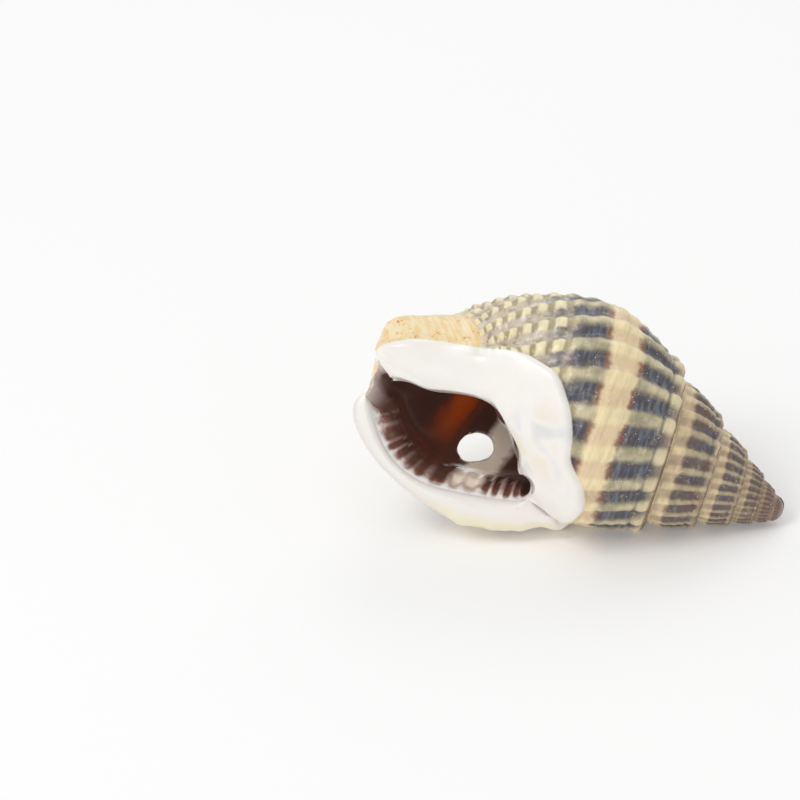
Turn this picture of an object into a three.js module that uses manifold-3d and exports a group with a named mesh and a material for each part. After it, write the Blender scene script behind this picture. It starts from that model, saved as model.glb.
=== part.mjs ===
// A nassa (dog whelk) shell drilled as a bead, lying on its side with the mouth to the front.
// Millimetres, +Z up, apex towards +X. Origin: middle of the footprint, on the resting plane.
import * as THREE from 'three';
import { mergeVertices } from 'three/addons/utils/BufferGeometryUtils.js';
import Module from 'manifold-3d';

const wasm = await Module();
wasm.setup();

// Coil. Every whorl repeats the one before it, smaller by one fixed ratio.
const growthPerTurn = 1.51;
const sutureDepth = 12.3;          // down the axis from the point where the spiral would vanish
const sutureRadius = 5.8;
const turnCount = 5.5;
const apexDepth = 0.95;            // the blunt first whorl closes here

// Whorl outline at the lip: depth down the axis and radius.
const whorlBulge = 0.72;
const sutureStep = 0.03;           // how sharply a whorl swells out below its suture
const baseOutline = [[18.57, 8.76], [21.0, 8.3], [23.4, 7.4], [25.5, 6.2], [27.3, 4.7], [28.4, 3.3]];
const frontEnd = 27.4;
const frontEndSoftening = 1.2;     // the outline is pressed back smoothly before the front end
const neckPull = 0.065;            // the neck sits further back where the mouth covers it
const endTaper = { back: 0.62, front: -0.2 };   // the columella stays thick in front, at the mouth

// Sculpture.
const ribsPerTurn = 19;
const ribPhase = 0.35;
const ribHeight = 0.3;
const varixHeight = { behind: 0.4, front: 0.9 };
const varixTurn = 0.02;
const varixWidth = 0.045;
const lipTuck = 0.5;               // the lip draws in again behind the last swelling
const lipTuckTurns = 0.12;

// Porcelain shield on the front, as seen along the mouth: depth and side, the mouth side negative.
const shieldOutline = [
  [27.0, -1.2], [25.7, 0.1], [24.1, 0.7], [21.7, 1.4], [19.5, 2.1], [17.2, 1.8], [15.9, 0.6],
  [14.9, -0.9], [14.3, -2.4], [13.2, -3.4], [12.3, -4.4], [12.4, -5.7], [15.0, -7.0], [20.0, -7.5],
  [26.0, -4.0],
];
const shieldHeight = 0.42;
const shieldEdge = 0.5;
const shieldFill = 0.7;            // the shield bridges the groove of the neck

// Hollow inside: its section at the mouth, as depth and radius.
const mouthOutline = [
  [15.3, 5.2], [15.9, 5.95], [17.4, 6.6], [19.2, 7.0], [21.2, 7.35], [22.8, 7.1], [24.2, 6.4],
  [25.3, 5.4], [26.1, 4.1], [26.0, 3.2], [24.6, 2.3], [23.5, 2.3], [22.2, 1.95], [20.6, 1.5],
  [19.5, 1.6], [18.5, 2.05], [17.7, 2.6], [17.0, 3.3], [16.6, 4.1], [15.8, 4.55],
];
const hollowTurns = 1.8;
const mouthReach = 3.5;            // how far the cut runs out in front of the mouth
const mouthFlare = 0.07;
const mouthMiddle = { depth: 20.8, radius: 4.4 };

// Notch for the siphon at the front end, and the drilled hole in the back.
const notchRadius = 1.05;
const notchFrom = { depth: 24.2, side: -3.5, back: -0.6 };
const notchTo = { depth: 29.0, side: -2.0, back: 1.1 };
const notchCut = { depth: 28.0, side: -2.1 };
const notchCutRadius = 1.2;
const notchCutReach = 6;
const boreRadius = 1.0;
const boreAt = { depth: 19.4, side: -4.2 };
const boreFrom = 3.0;
const boreTo = 10.0;

// Pose: it lies on two worn ribs of the last whorl and one of the whorl above it.
const axisDip = THREE.MathUtils.degToRad(26);       // the apex points down by this much
const upTurn = THREE.MathUtils.degToRad(211);       // the way round the axis, from the lip, that is up
const heading = THREE.MathUtils.degToRad(-12.6);    // the apex swings towards -Y by this much
const contactWear = 0.18;
const roomSize = 60;

// Sampling.
const stepsPerTurn = ribsPerTurn * 4;
const bandSteps = 8;
const baseSteps = 8;
const tipSteps = 5;
const hollowStepsPerTurn = 32;
const fineTurns = 2;

const shrink = (turn) => Math.pow(growthPerTurn, -turn);
const smooth = (low, high, x) => THREE.MathUtils.smoothstep(x, low, high);

const baseCurve = new THREE.CatmullRomCurve3(
  baseOutline.map(([depth, radius]) => new THREE.Vector3(depth, radius, 0)), false, 'centripetal');

// Point of the whorl outline at the lip: 0 to 1 is the band between two sutures, 1 to 2 the base.
function outlineAt(across) {
  if (across <= 1) {
    const stretch = 1 + (growthPerTurn - 1) * across;
    const swell = whorlBulge * (1 - Math.pow(across, 2.2)) * (1 - Math.exp(-across / sutureStep));
    return [sutureDepth * stretch, sutureRadius * stretch + swell];
  }
  const point = baseCurve.getPoint(Math.min(across - 1, 1));
  return [point.x, point.y];
}

function pressBack(depth) {
  const start = frontEnd - frontEndSoftening;
  if (depth <= start) {
    return depth;
  }
  return start + frontEndSoftening * (1 - Math.exp(-(depth - start) / frontEndSoftening));
}

// Smooth shell without ribs. 2 to 3 is the fasciole and the rounded front end of the columella.
function bodyAt(turn, across) {
  const size = shrink(turn);
  const [depth, radius] = outlineAt(Math.min(across, 2));
  const pull = 1 - neckPull * smooth(0.6, 1, turn) * smooth(1.1, 1.7, across);
  const neckDepth = pressBack(depth * size * (turn <= 1 ? pull : 1));
  const neckRadius = radius * size;
  if (across <= 2) {
    return [neckDepth, neckRadius];
  }
  const along = across - 2;
  const taper = THREE.MathUtils.lerp(endTaper.back, endTaper.front, smooth(0.55, 0.9, turn));
  const round = (1 - taper * along) * Math.sqrt(Math.max(0, 1 - Math.pow(along, 9)));
  return [THREE.MathUtils.lerp(neckDepth, frontEnd, along), neckRadius * round];
}

function closedCurve(outline) {
  const points = outline.map(([depth, side]) => new THREE.Vector3(depth, side, 0));
  return new THREE.CatmullRomCurve3(points, true, 'centripetal');
}

const shieldLoop = closedCurve(shieldOutline).getPoints(90);

// Distance inside the edge of the shield; negative outside it.
function insideShield(depth, side) {
  let nearest = Infinity;
  let inside = false;
  for (let i = 0; i + 1 < shieldLoop.length; i += 1) {
    const a = shieldLoop[i];
    const b = shieldLoop[i + 1];
    const dx = b.x - a.x;
    const dy = b.y - a.y;
    const along = THREE.MathUtils.clamp(
      ((depth - a.x) * dx + (side - a.y) * dy) / (dx * dx + dy * dy), 0, 1);
    nearest = Math.min(nearest, Math.hypot(a.x + dx * along - depth, a.y + dy * along - side));
    if ((a.y > side) !== (b.y > side) && depth < a.x + (dx * (side - a.y)) / dy) {
      inside = !inside;
    }
  }
  return inside ? nearest : -nearest;
}

function reliefAt(turn, across, depth, radius) {
  const angle = 2 * Math.PI * turn;
  const size = shrink(turn);
  const ribFade = 1 - smooth(1.5, 2, across);
  const rib = 0.1 + 0.5 * Math.cos(2 * Math.PI * (ribsPerTurn * turn - ribPhase));
  const varix = Math.exp(-Math.pow((turn - varixTurn) / varixWidth, 2))
    * smooth(0.1, 0.5, across) * (1 - smooth(1.6, 2.05, across))
    * THREE.MathUtils.lerp(varixHeight.behind, varixHeight.front, smooth(0.7, 1.3, across));
  const tuck = lipTuck * (1 - smooth(0, lipTuckTurns, turn)) * smooth(0, 0.3, across)
    * (1 - smooth(0.9, 1.6, across));
  const sculpture = ribHeight * size * rib * ribFade + varix - tuck;
  if (turn > 1 || Math.sin(angle) > 0) {
    return sculpture;
  }
  const cover = smooth(0, shieldEdge, insideShield(depth, -radius * Math.cos(angle)));
  const groove = Math.exp(-Math.pow((across - 2.05) / 0.35, 2)) * (1 - smooth(0.82, 0.95, turn));
  return THREE.MathUtils.lerp(sculpture, shieldHeight + shieldFill * groove, cover);
}

function place(turn, depth, radius) {
  const angle = 2 * Math.PI * turn;
  return [radius * Math.cos(angle), radius * Math.sin(angle), -depth];
}

function outsidePoint(turn, across) {
  const [depth, radius] = bodyAt(turn, across);
  const [nextDepth, nextRadius] = bodyAt(turn, across + 0.01);
  const dDepth = nextDepth - depth;
  const dRadius = nextRadius - radius;
  const length = Math.hypot(dDepth, dRadius) || 1;
  const fade = across <= 1 ? smooth(0, 0.06, across) * (turn > 1 ? 1 - smooth(0.94, 1, across) : 1) : 1;
  const relief = reliefAt(turn, across, depth, radius) * fade;
  const outDepth = depth - (relief * dRadius) / length;
  const outRadius = radius + (relief * dDepth) / length;
  return place(turn, Math.min(outDepth, frontEnd), Math.max(outRadius, 0));
}

// Mesh under construction, with vertices shared by key.
function makeMesh() {
  return { keys: new Map(), positions: [], faces: [] };
}

function vertex(mesh, key, makePoint) {
  if (!mesh.keys.has(key)) {
    mesh.keys.set(key, mesh.positions.length / 3);
    mesh.positions.push(...makePoint());
  }
  return mesh.keys.get(key);
}

function face(mesh, a, b, c) {
  if (a !== b && b !== c && c !== a) {
    mesh.faces.push(a, c, b);
  }
}

function quad(mesh, a, b, c, d) {
  face(mesh, a, b, c);
  face(mesh, a, c, d);
}

const lastTurnSteps = bandSteps + baseSteps + tipSteps;

function acrossAt(step) {
  if (step <= bandSteps) {
    return Math.pow(step / bandSteps, 1.25);
  }
  if (step <= bandSteps + baseSteps) {
    return 1 + (step - bandSteps) / baseSteps;
  }
  return 2 + Math.sin(((step - bandSteps - baseSteps) / tipSteps) * Math.PI / 2);
}

// The lower edge of each whorl is the suture of the next one, so both use the same vertices.
function outsideVertex(mesh, turnStep, acrossStep) {
  if (acrossStep === bandSteps && turnStep >= stepsPerTurn) {
    return outsideVertex(mesh, turnStep - stepsPerTurn, 0);
  }
  if (acrossStep === lastTurnSteps) {
    return vertex(mesh, 'front', () => [0, 0, -frontEnd]);
  }
  return vertex(mesh, `${turnStep},${acrossStep}`,
    () => outsidePoint(turnStep / stepsPerTurn, acrossAt(acrossStep)));
}

function lastWhorl(mesh) {
  for (let i = 0; i < stepsPerTurn; i += 1) {
    for (let j = 0; j < lastTurnSteps; j += 1) {
      quad(mesh, outsideVertex(mesh, i, j), outsideVertex(mesh, i + 1, j),
        outsideVertex(mesh, i + 1, j + 1), outsideVertex(mesh, i, j + 1));
    }
  }
}

function upperWhorls(mesh) {
  const lastStep = Math.round(turnCount * stepsPerTurn);
  let i = stepsPerTurn;
  while (i < lastStep) {
    const stride = i >= fineTurns * stepsPerTurn ? 2 : 1;
    for (let j = 0; j < bandSteps; j += 1) {
      const a = outsideVertex(mesh, i, j);
      const b = outsideVertex(mesh, i + stride, j);
      const c = outsideVertex(mesh, i + stride, j + 1);
      const d = outsideVertex(mesh, i, j + 1);
      const touchesFineWhorl = j === bandSteps - 1 && i - stepsPerTurn < fineTurns * stepsPerTurn;
      if (stride === 2 && touchesFineWhorl) {
        const middle = outsideVertex(mesh, i + 1, j + 1);
        face(mesh, a, b, middle);
        face(mesh, b, c, middle);
        face(mesh, a, middle, d);
      } else {
        quad(mesh, a, b, c, d);
      }
    }
    i += stride;
  }
  return lastStep;
}

function apexCap(mesh, lastStep) {
  const tip = vertex(mesh, 'apex', () => [0, 0, -apexDepth]);
  for (let i = lastStep - stepsPerTurn; i < lastStep; i += 2) {
    face(mesh, outsideVertex(mesh, i + 2, 0), outsideVertex(mesh, i, 0), tip);
  }
  for (let j = 0; j < bandSteps; j += 1) {
    face(mesh, outsideVertex(mesh, lastStep, j + 1), outsideVertex(mesh, lastStep, j), tip);
  }
}

// Flat face across the mouth, between the lip and the base of the whorl before it.
function mouthCap(mesh) {
  const inner = [];
  for (let j = bandSteps; j <= lastTurnSteps; j += 1) {
    inner.push(outsideVertex(mesh, stepsPerTurn, j));
  }
  const outer = [];
  for (let j = 0; j <= lastTurnSteps; j += 1) {
    outer.push(outsideVertex(mesh, 0, j));
  }
  let k = 0;
  for (let j = 0; j < lastTurnSteps; j += 1) {
    const target = Math.floor(((j + 1) * (inner.length - 1)) / lastTurnSteps);
    face(mesh, outer[j], outer[j + 1], inner[k]);
    while (k < target) {
      face(mesh, outer[j + 1], inner[k + 1], inner[k]);
      k += 1;
    }
  }
}

function toManifold(positions, faces) {
  const geometry = new THREE.BufferGeometry();
  geometry.setAttribute('position', new THREE.Float32BufferAttribute(positions, 3));
  geometry.setIndex(faces);
  const merged = mergeVertices(geometry, 1e-5);
  return new wasm.Manifold(new wasm.Mesh({
    numProp: 3,
    vertProperties: new Float32Array(merged.attributes.position.array),
    triVerts: new Uint32Array(merged.index.array),
  }));
}

function fromGeometry(geometry) {
  geometry.deleteAttribute('normal');
  geometry.deleteAttribute('uv');
  const merged = mergeVertices(geometry, 1e-5);
  return toManifold(Array.from(merged.attributes.position.array), Array.from(merged.index.array));
}

function outsideSolid() {
  const mesh = makeMesh();
  lastWhorl(mesh);
  const lastStep = upperWhorls(mesh);
  apexCap(mesh, lastStep);
  mouthCap(mesh);
  return toManifold(mesh.positions, mesh.faces);
}

// In front of the mouth the hollow runs straight out and opens like a funnel.
function funnelRing(loop) {
  const spread = 1 + mouthFlare * mouthReach;
  return loop.map(({ x: depth, y: radius }) => [
    mouthMiddle.radius + (radius - mouthMiddle.radius) * spread,
    -mouthReach,
    -(mouthMiddle.depth + (depth - mouthMiddle.depth) * spread),
  ]);
}

function hollowSolid() {
  const loop = closedCurve(mouthOutline).getPoints(mouthOutline.length).slice(0, -1);
  const rings = [funnelRing(loop)];
  const ringCount = Math.round(hollowTurns * hollowStepsPerTurn) + 1;
  for (let i = 0; i < ringCount; i += 1) {
    const turn = i / hollowStepsPerTurn;
    rings.push(loop.map(({ x: depth, y: radius }) =>
      place(turn, depth * shrink(turn), radius * shrink(turn))));
  }
  return ringStack(rings);
}

// Closed solid from a row of rings, with a fan at each end.
function ringStack(rings) {
  const size = rings[0].length;
  const positions = rings.flat(2);
  const faces = [];
  for (let i = 0; i + 1 < rings.length; i += 1) {
    for (let j = 0; j < size; j += 1) {
      const k = (j + 1) % size;
      faces.push(i * size + j, (i + 1) * size + k, (i + 1) * size + j);
      faces.push(i * size + j, i * size + k, (i + 1) * size + k);
    }
  }
  for (const [row, flip] of [[0, false], [rings.length - 1, true]]) {
    const centre = positions.length / 3;
    const middle = [0, 1, 2].map((axis) => rings[row].reduce((sum, p) => sum + p[axis], 0) / size);
    positions.push(...middle);
    for (let j = 0; j < size; j += 1) {
      const a = row * size + j;
      const b = row * size + ((j + 1) % size);
      faces.push(...(flip ? [centre, a, b] : [centre, b, a]));
    }
  }
  return toManifold(positions, faces);
}

function rod(from, to, radius, sides) {
  const direction = new THREE.Vector3().subVectors(to, from);
  const geometry = new THREE.CylinderGeometry(radius, radius, direction.length(), sides);
  const turn = new THREE.Quaternion().setFromUnitVectors(new THREE.Vector3(0, 1, 0),
    direction.clone().normalize());
  geometry.applyQuaternion(turn);
  geometry.translate((from.x + to.x) / 2, (from.y + to.y) / 2, (from.z + to.z) / 2);
  return fromGeometry(geometry);
}

const local = ({ depth, side, back }) => new THREE.Vector3(-side, back, -depth);

function notchSolid() {
  const channel = rod(local(notchFrom), local(notchTo), notchRadius, 12);
  const cut = rod(local({ ...notchCut, back: -notchCutReach }),
    local({ ...notchCut, back: notchCutReach }), notchCutRadius, 16);
  return channel.add(cut);
}

function boreSolid() {
  return rod(local({ ...boreAt, back: boreFrom }), local({ ...boreAt, back: boreTo }), boreRadius, 16);
}

// Lay the shell down: apex to +X and dipping to the resting plane, mouth to -Y and facing up a little.
function restingRotation() {
  const up = new THREE.Vector3(
    Math.cos(axisDip) * Math.cos(upTurn), Math.cos(axisDip) * Math.sin(upTurn), -Math.sin(axisDip));
  const apexward = new THREE.Vector3(0, 0, 1).addScaledVector(up, Math.sin(axisDip)).normalize();
  const back = new THREE.Vector3().crossVectors(up, apexward);
  const settled = new THREE.Matrix4().makeBasis(apexward, back, up).transpose();
  return new THREE.Matrix4().makeRotationZ(heading).multiply(settled);
}

function positionsOf(solid) {
  const mesh = solid.getMesh();
  return { positions: Array.from(mesh.vertProperties), faces: Array.from(mesh.triVerts) };
}

function layDown(solid) {
  const { positions, faces } = positionsOf(solid);
  const geometry = new THREE.BufferGeometry();
  geometry.setAttribute('position', new THREE.Float32BufferAttribute(positions, 3));
  geometry.setIndex(faces);
  geometry.applyMatrix4(restingRotation());
  geometry.computeBoundingBox();
  const { min, max } = geometry.boundingBox;
  geometry.translate(-(min.x + max.x) / 2, -(min.y + max.y) / 2, -min.z - contactWear);
  return geometry;
}

// Rub the lowest beads flat, as a bead shell is worn, so that it rests on real faces.
function wearContacts(geometry) {
  const above = new THREE.BoxGeometry(roomSize, roomSize, roomSize);
  above.translate(0, 0, roomSize / 2);
  return fromGeometry(geometry).intersect(fromGeometry(above));
}

function shellGeometry() {
  const solid = outsideSolid()
    .subtract(hollowSolid())
    .subtract(notchSolid())
    .subtract(boreSolid());
  const worn = wearContacts(layDown(solid));
  const { positions, faces } = positionsOf(worn);
  const geometry = new THREE.BufferGeometry();
  geometry.setAttribute('position', new THREE.Float32BufferAttribute(positions, 3));
  geometry.setIndex(faces);
  geometry.computeVertexNormals();
  return geometry;
}

const shellMaterial = new THREE.MeshStandardMaterial({
  color: 0xa39474, roughness: 0.45, metalness: 0,
});
const shell = new THREE.Mesh(shellGeometry(), shellMaterial);
shell.name = 'shell';

const part = new THREE.Group();
part.add(shell);

export default part;
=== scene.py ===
import math
import bmesh
import bpy
import numpy as np
from mathutils import Matrix, Vector
from mathutils.kdtree import KDTree


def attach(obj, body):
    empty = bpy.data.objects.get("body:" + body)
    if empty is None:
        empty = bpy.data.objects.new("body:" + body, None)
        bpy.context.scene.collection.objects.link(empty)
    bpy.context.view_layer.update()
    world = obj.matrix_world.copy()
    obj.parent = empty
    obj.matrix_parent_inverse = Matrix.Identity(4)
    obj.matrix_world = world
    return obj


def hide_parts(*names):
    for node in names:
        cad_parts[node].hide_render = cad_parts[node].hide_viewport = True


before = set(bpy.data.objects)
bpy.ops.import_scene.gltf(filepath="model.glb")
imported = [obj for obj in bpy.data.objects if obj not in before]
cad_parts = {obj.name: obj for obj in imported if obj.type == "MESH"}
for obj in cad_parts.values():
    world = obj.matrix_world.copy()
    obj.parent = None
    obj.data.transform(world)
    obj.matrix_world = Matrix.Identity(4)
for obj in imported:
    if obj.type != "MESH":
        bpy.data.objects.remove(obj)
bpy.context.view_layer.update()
mm = 0.001
fullTurn = 2 * math.pi
print("frame loaded")

# The shell is worked out in millimetres round its own axis: depth runs down from the apex,
# side across the front (the mouth is on the minus side) and back away from the mouth.
# A turn counts how many whorls back from the lip a place is, and across goes over the whorl:
# 0 to 1 between two sutures, 1 to 2 over the base, 2 to 3 round the front end.
coil = {
    "growthPerTurn": 1.51,      # every whorl is this much bigger than the one above
    "sutureDepth": 12.3,
    "sutureRadius": 5.8,
    "turnCount": 5.5,
    "apexDepth": 0.95,
    "whorlBulge": 0.72,
    "spireBulge": 0.34,         # the whorls of the spire are rounder in the middle
    "sutureStep": 0.03,         # how sharply a whorl swells below its suture
    "baseOutline": [(18.57, 8.76), (21.0, 8.3), (23.4, 7.4), (25.5, 6.2), (27.3, 4.7), (28.4, 3.3)],
    "frontEnd": 27.4,
    "frontEndSoftening": 1.2,
    "neckPull": 0.065,
    "endTaper": {"back": 0.62, "front": -0.2},
}


def smooth(low, high, x):
    t = np.clip((x - low) / (high - low), 0, 1)
    return t * t * (3 - 2 * t)


def mix(a, b, t):
    return a + (b - a) * t


def bump(x, middle, width):
    return np.exp(-(((x - middle) / width) ** 2))


def shrink(turn):
    return coil["growthPerTurn"] ** -turn


# Centripetal curve through given points; params run 0 to 1 along it.
def curveAt(points, params, closed=False):
    corners = np.asarray(points, float)
    count = len(corners)
    spans = count if closed else count - 1
    along = np.clip(params, 0, 1) * spans
    first = np.minimum(np.floor(along).astype(int), spans - 1)
    t = (along - first)[:, None]
    if closed:
        p0, p1, p2, p3 = [corners[(first + k) % count] for k in (-1, 0, 1, 2)]
    else:
        ends = np.vstack([2 * corners[0] - corners[1], corners, 2 * corners[-1] - corners[-2]])
        p0, p1, p2, p3 = [ends[first + k] for k in (0, 1, 2, 3)]
    d0, d1, d2 = [np.sqrt(np.linalg.norm(b - a, axis=1))[:, None]
                  for a, b in ((p0, p1), (p1, p2), (p2, p3))]
    out = ((p1 - p0) / d0 - (p2 - p0) / (d0 + d1) + (p2 - p1) / d1) * d1
    into = ((p2 - p1) / d1 - (p3 - p1) / (d1 + d2) + (p3 - p2) / d2) * d1
    bend = -3 * p1 + 3 * p2 - 2 * out - into
    return p1 + out * t + bend * t ** 2 + (2 * p1 - 2 * p2 + out + into) * t ** 3


# Outline of a whorl at the lip, as depth and radius.
def outlineAt(across):
    band = np.minimum(across, 1)
    stretch = 1 + (coil["growthPerTurn"] - 1) * band
    swell = coil["whorlBulge"] * (1 - band ** 2.2) * (1 - np.exp(-band / coil["sutureStep"]))
    base = curveAt(coil["baseOutline"], across - 1)
    onBand = across <= 1
    return (np.where(onBand, coil["sutureDepth"] * stretch, base[:, 0]),
            np.where(onBand, coil["sutureRadius"] * stretch + swell, base[:, 1]))


def pressBack(depth):
    soft = coil["frontEndSoftening"]
    start = coil["frontEnd"] - soft
    return np.where(depth <= start, depth,
                    start + soft * (1 - np.exp(-np.maximum(depth - start, 0) / soft)))


def bodyAt(turn, across):
    size = shrink(turn)
    depth, radius = outlineAt(np.minimum(across, 2))
    pull = 1 - coil["neckPull"] * smooth(0.6, 1, turn) * smooth(1.1, 1.7, across)
    depth = pressBack(depth * size * np.where(turn <= 1, pull, 1))
    rounder = coil["spireBulge"] * smooth(0.95, 1.25, turn) * np.sin(np.pi * np.minimum(across, 1))
    radius = (radius + rounder) * size
    along = np.clip(across - 2, 0, 1)
    taper = mix(coil["endTaper"]["back"], coil["endTaper"]["front"], smooth(0.55, 0.9, turn))
    tip = (1 - taper * along) * np.sqrt(np.maximum(0, 1 - along ** 9))
    onEnd = across > 2
    return (np.where(onEnd, mix(depth, coil["frontEnd"], along), depth),
            np.where(onEnd, radius * tip, radius))


sculpture = {
    "ribsPerTurn": 18.35,
    "moreRibsAbove": (3.9, 3.0),      # extra ribs in each turn, one and two whorls up
    "ribStart": 0.13,
    "ribSlant": (0.75, 0.95),         # ribs lean back from the suture, and more on the base
    "ribHeight": 0.46,
    "beadRow": 0.11,                  # row of beads under the suture, and the groove below it
    "beadRowWidth": 0.06,
    "beadHeight": 0.22,
    "grooveAt": 0.21,
    "grooveWidth": 0.026,
    "grooveDepth": 0.14,
    "cords": (5.8, 3.35),             # cords sit closer and closer towards the neck
    "cordStart": 0.72,
    "cordHeight": 0.17,
    "varixHeight": 0.6,
    "varixTurn": 0.02,
    "varixWidth": 0.045,
    "lipTuck": 0.5,
    "lipTuckTurns": 0.12,
    "scallop": 0.035,
    "endLumps": 0.1,
}


def ribPhase(turn, across):
    above, higher = sculpture["moreRibsAbove"]
    lean, leanMore = sculpture["ribSlant"]
    slant = lean * (across - 0.49) + leanMore * np.maximum(0, across - 1.15)
    steady = (sculpture["ribsPerTurn"] * turn + above * np.maximum(0, turn - 1)
              + higher * np.maximum(0, turn - 2))
    drift = 0.07 * np.sin(fullTurn * 1.7 * turn + 0.5) + 0.05 * np.sin(fullTurn * 4.3 * turn + 2)
    return steady + drift - slant - sculpture["ribStart"]


def ribCrest(turn, across):
    return 0.5 + 0.5 * np.cos(fullTurn * ribPhase(turn, across))


def cordCrest(across):
    first, closing = sculpture["cords"]
    down = across - 1
    count = first * down + closing * np.maximum(down, 0) ** 2
    return 0.5 + 0.5 * np.cos(fullTurn * (count - sculpture["cordStart"]))


# Slow uneven swelling, so that no two beads are alike.
def unevenness(turn, across):
    return (0.5 * np.sin(31.0 * turn + 7 * across) + 0.3 * np.sin(57.0 * turn - 13 * across + 1)
            + 0.2 * np.sin(113.0 * turn + 29 * across + 2))


shield = {
    # Porcelain glaze over the front, as depth and side.
    "outline": [
        (27.3, -1.3), (25.9, 0.0), (24.1, 0.7), (21.7, 1.4), (19.5, 2.1), (17.2, 1.8), (15.9, 0.6),
        (14.9, -0.9), (14.3, -2.4), (13.2, -3.4), (12.3, -4.4), (12.4, -5.7), (15.0, -7.0),
        (20.0, -7.5), (26.0, -4.0)],
    "height": 0.42,
    "edge": 0.42,
    "fill": 0.7,              # it bridges the groove of the neck
    "ribsThrough": 0.12,      # how much of the ribs can still be felt in it
    "wrap": 0.9,
    "wrapAt": (25, 26),       # past this depth it goes round the tip of the columella
    "wrapFall": 0.8,
}
shieldLoop = curveAt(shield["outline"], np.linspace(0, 1, 181), closed=True)


def insideShield(depth, side):
    nearest = np.full(depth.shape, np.inf)
    inside = np.zeros(depth.shape, bool)
    for a, b in zip(shieldLoop[:-1], shieldLoop[1:]):
        step = b - a
        along = np.clip(((depth - a[0]) * step[0] + (side - a[1]) * step[1]) / (step @ step), 0, 1)
        gap = np.hypot(a[0] + step[0] * along - depth, a[1] + step[1] * along - side)
        nearest = np.minimum(nearest, gap)
        if a[1] != b[1]:
            crosses = ((a[1] > side) != (b[1] > side))
            inside ^= crosses & (depth < a[0] + step[0] * (side - a[1]) / step[1])
    return np.where(inside, nearest, -nearest)


def reliefAt(turn, across, depth, radius):
    size = shrink(turn)
    crest = ribCrest(turn, across)
    groove = bump(across, sculpture["grooveAt"], sculpture["grooveWidth"])
    beads = bump(across, sculpture["beadRow"], sculpture["beadRowWidth"])
    nearLip = 1 - smooth(0.015, 0.05, turn)
    rib = (crest ** 0.8 - 0.58) * (1 - 0.5 * groove) * (1 + 0.15 * unevenness(turn, across))
    rib = rib * (1 - smooth(1.7, 1.98, across)) * (1 - 0.8 * nearLip)
    row = sculpture["beadHeight"] * beads * (0.35 + 0.65 * crest) - sculpture["grooveDepth"] * groove
    row = row * (1 - nearLip)
    onBase = mix(0.4, 1, smooth(0.95, 1.3, across)) * (1 - smooth(1.88, 1.99, across))
    onBase = onBase * smooth(0.22, 0.3, across)
    cord = (cordCrest(across) - 0.75) * onBase * (0.4 + 0.8 * crest) * (1 - nearLip)
    varix = bump(turn, sculpture["varixTurn"], sculpture["varixWidth"]) * smooth(0.1, 0.5, across)
    varix = varix * (1 - smooth(1.6, 2.05, across)) * sculpture["varixHeight"]
    tuck = sculpture["lipTuck"] * (1 - smooth(0, sculpture["lipTuckTurns"], turn))
    tuck = tuck * smooth(0, 0.3, across) * (1 - smooth(0.9, 1.6, across))
    wave = np.sin(fullTurn * 3.3 * across + 0.6) + 0.5 * np.sin(fullTurn * 7.3 * across + 2)
    scallop = sculpture["scallop"] * 0.6 * wave * bump(turn, 0, 0.035)
    scallop = scallop * smooth(0.1, 0.4, across) * (1 - smooth(0.9, 1.4, across))
    carved = size * (sculpture["ribHeight"] * rib + row + sculpture["cordHeight"] * cord)
    lumps = sculpture["endLumps"] * smooth(2.0, 2.15, across) * unevenness(0.55 * turn, 0.5 * across)
    carved = carved + varix - tuck + 2 * scallop + lumps
    angle = fullTurn * turn
    front = (turn <= 1) & (np.sin(angle) <= 1e-9) & (turn > 0.25)
    cover = np.zeros(turn.shape)
    reach = insideShield(depth[front], -radius[front] * np.cos(angle[front]))
    reach = np.clip(reach / shield["edge"], 0, 1)
    cover[front] = np.sqrt(np.maximum(0, 1 - (1 - reach) ** 2))
    neckFill = bump(across, 2.05, 0.35) * (1 - smooth(0.82, 0.95, turn))
    glaze = shield["height"] + shield["fill"] * neckFill + shield["ribsThrough"] * carved
    return mix(carved, glaze, cover)


def placeRound(turn, depth, radius):
    angle = fullTurn * turn
    return np.stack([radius * np.cos(angle), radius * np.sin(angle), -depth], axis=1)


def outsidePoints(turn, across):
    depth, radius = bodyAt(turn, across)
    reach = 0.02 + 0.2 * bump(across, 2, 0.25)     # wider in the neck, so the glaze does not fold
    nextDepth, nextRadius = bodyAt(turn, across + reach)
    lastDepth, lastRadius = bodyAt(turn, np.maximum(across - reach, 0))
    runDepth, runRadius = nextDepth - lastDepth, nextRadius - lastRadius
    length = np.hypot(runDepth, runRadius)
    length[length == 0] = 1
    fade = np.where(across <= 1, smooth(0, 0.05, across), 1)
    fade = fade * np.where((across <= 1) & (turn > 1), 1 - smooth(0.94, 1, across), 1)
    relief = reliefAt(turn, across, depth, radius) * fade
    depth = np.minimum(depth - relief * runRadius / length, coil["frontEnd"])
    radius = np.maximum(radius + relief * runDepth / length, 0)
    return placeRound(turn, depth, radius)


mesh = {
    "stepsPerTurn": 288,
    "fineTurns": 2,
    "bandSteps": 40,
    "baseSteps": 60,
    "tipSteps": 24,
    "lipSteps": 12,
    "lipFaceSteps": 9,
    "domeSteps": 5,
}
lip = {
    "width": 1.0,
    "height": 0.5,
    "face": 1.5,
    "starts": (0, 0.2),       # where across the whorl the roll begins and where it runs out
    "stops": (1.9, 2.6),
}
firstRow = -mesh["lipSteps"] - mesh["lipFaceSteps"]
acrossSteps = mesh["bandSteps"] + mesh["baseSteps"] + mesh["tipSteps"]


def acrossAt(step):
    step = np.asarray(step, float)
    band, base, tip = mesh["bandSteps"], mesh["baseSteps"], mesh["tipSteps"]
    onBand = np.clip(step / band, 0, 1) ** 1.15
    onBase = np.clip((step - band) / base, 0, 1)
    onTip = np.sin(np.clip((step - band - base) / tip, 0, 1) * math.pi / 2)
    return onBand + onBase + onTip


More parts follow.
